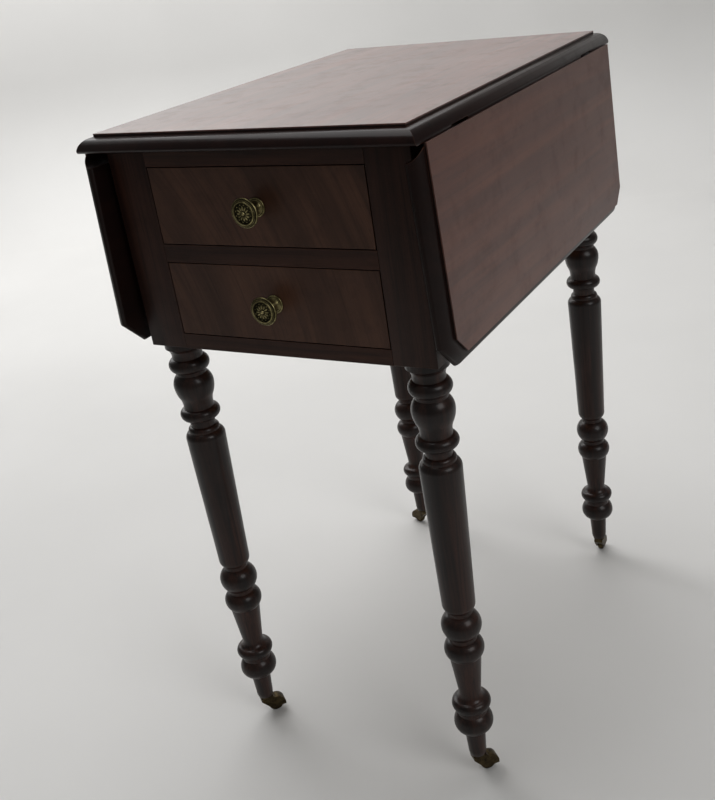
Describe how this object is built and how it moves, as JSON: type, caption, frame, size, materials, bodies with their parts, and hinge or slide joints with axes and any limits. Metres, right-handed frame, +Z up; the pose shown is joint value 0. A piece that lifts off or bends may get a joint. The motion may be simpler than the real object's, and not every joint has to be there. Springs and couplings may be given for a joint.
{
  "type": "drop-leaf sewing table",
  "caption": "Small drop-leaf work table with a moulded top, stacked drawers with round brass knobs, ring-turned legs and swivel castors.",
  "frame": {"origin": "on the floor, at the middle of the table's closed width and of its depth over top and knobs", "axes": "+Z up, the drawers face -Y, +X to the right seen from the front"},
  "size_m": [0.3942, 0.5304, 0.74],
  "materials": {
    "mahogany_top": "french polished mahogany, worn satin",
    "mahogany_case": "dark polished mahogany",
    "mahogany_drawer": "figured mahogany, polished",
    "mahogany_turned": "dark turned mahogany, polished",
    "secondary_wood": "plain unpolished secondary wood",
    "bearer_wood": "plain beech",
    "steel": "dull iron",
    "knob_brass": "aged brass with dark recesses",
    "castor_brass": "dull brass"
  },
  "bodies": {
    "root": {"top_board": "mahogany_top", "top_front_rail": "mahogany_case", "middle_front_rail": "mahogany_case", "bottom_front_rail": "mahogany_case", "left_side_board": "mahogany_case", "right_side_board": "mahogany_case", "back_panel": "mahogany_case", "front_left_leg": "mahogany_turned", "front_right_leg": "mahogany_turned", "back_left_leg": "mahogany_turned", "back_right_leg": "mahogany_turned", "left_inner_side": "secondary_wood", "right_inner_side": "secondary_wood", "drawer_runners": "secondary_wood", "drawer_guides": "secondary_wood", "drawer_stops": "secondary_wood", "kickers": "secondary_wood", "glue_blocks": "secondary_wood", "fly_rails": "bearer_wood", "left_fly_bracket": "bearer_wood", "right_fly_bracket": "bearer_wood", "hinge_top_flaps": "steel", "hinge_pins": "steel", "top_hinge_screws": "steel", "top_screws": "steel", "bracket_pins": "steel", "castor_screws": "steel", "castor_plates": "castor_brass"},
    "left_leaf": {"left_leaf": "mahogany_top", "left_leaf_hinge_flaps": "steel", "left_leaf_hinge_screws": "steel"},
    "right_leaf": {"right_leaf": "mahogany_top", "right_leaf_hinge_flaps": "steel", "right_leaf_hinge_screws": "steel"},
    "upper_drawer": {"upper_drawer_front": "mahogany_drawer", "upper_drawer_sides": "secondary_wood", "upper_drawer_back": "secondary_wood", "upper_drawer_bottom": "secondary_wood", "upper_drawer_knob": "knob_brass", "upper_drawer_knob_rose": "knob_brass", "upper_drawer_knob_nut": "knob_brass"},
    "lower_drawer": {"lower_drawer_front": "mahogany_drawer", "lower_drawer_sides": "secondary_wood", "lower_drawer_back": "secondary_wood", "lower_drawer_bottom": "secondary_wood", "lower_drawer_knob": "knob_brass", "lower_drawer_knob_rose": "knob_brass", "lower_drawer_knob_nut": "knob_brass"},
    "front_left_castor": {"front_left_castor_horn": "castor_brass", "front_left_castor_axle": "castor_brass"},
    "front_left_wheel": {"front_left_castor_wheel": "castor_brass"},
    "front_right_castor": {"front_right_castor_horn": "castor_brass", "front_right_castor_axle": "castor_brass"},
    "front_right_wheel": {"front_right_castor_wheel": "castor_brass"},
    "back_left_castor": {"back_left_castor_horn": "castor_brass", "back_left_castor_axle": "castor_brass"},
    "back_left_wheel": {"back_left_castor_wheel": "castor_brass"},
    "back_right_castor": {"back_right_castor_horn": "castor_brass", "back_right_castor_axle": "castor_brass"},
    "back_right_wheel": {"back_right_castor_wheel": "castor_brass"}
  },
  "joints": [
    {"name": "left_leaf_hinge", "type": "hinge", "parent": "root", "child": "left_leaf", "pos_m": [-0.172, 0.00125, 0.723], "axis": [0, 1, 0], "range_deg": [-2.4, 87.6]},
    {"name": "right_leaf_hinge", "type": "hinge", "parent": "root", "child": "right_leaf", "pos_m": [0.172, 0.00125, 0.723], "axis": [0, -1, 0], "range_deg": [-2.4, 87.6]},
    {"name": "upper_drawer_slide", "type": "slide", "parent": "root", "child": "upper_drawer", "axis": [0, -1, 0], "range_m": [0, 0.34]},
    {"name": "lower_drawer_slide", "type": "slide", "parent": "root", "child": "lower_drawer", "axis": [0, -1, 0], "range_m": [0, 0.34]},
    {"name": "front_left_castor_swivel", "type": "hinge", "parent": "root", "child": "front_left_castor", "pos_m": [-0.1458, -0.21755, 0.022], "axis": [0, 0, 1], "continuous": true},
    {"name": "front_left_wheel_spin", "type": "hinge", "parent": "front_left_castor", "child": "front_left_wheel", "pos_m": [-0.13905, -0.20951, 0.0095], "axis": [-0.766, 0.6428, 0], "continuous": true},
    {"name": "front_right_castor_swivel", "type": "hinge", "parent": "root", "child": "front_right_castor", "pos_m": [0.1458, -0.21755, 0.022], "axis": [0, 0, 1], "continuous": true},
    {"name": "front_right_wheel_spin", "type": "hinge", "parent": "front_right_castor", "child": "front_right_wheel", "pos_m": [0.15283, -0.20975, 0.0095], "axis": [-0.7431, 0.6691, 0], "continuous": true},
    {"name": "back_left_castor_swivel", "type": "hinge", "parent": "root", "child": "back_left_castor", "pos_m": [-0.1458, 0.23405, 0.022], "axis": [0, 0, 1], "continuous": true},
    {"name": "back_left_wheel_spin", "type": "hinge", "parent": "back_left_castor", "child": "back_left_wheel", "pos_m": [-0.15567, 0.23764, 0.0095], "axis": [-0.342, -0.9397, 0], "continuous": true},
    {"name": "back_right_castor_swivel", "type": "hinge", "parent": "root", "child": "back_right_castor", "pos_m": [0.1458, 0.23405, 0.022], "axis": [0, 0, 1], "continuous": true},
    {"name": "back_right_wheel_spin", "type": "hinge", "parent": "back_right_castor", "child": "back_right_wheel", "pos_m": [0.14489, 0.24451, 0.0095], "axis": [-0.9962, -0.0872, 0], "continuous": true}
  ]
}
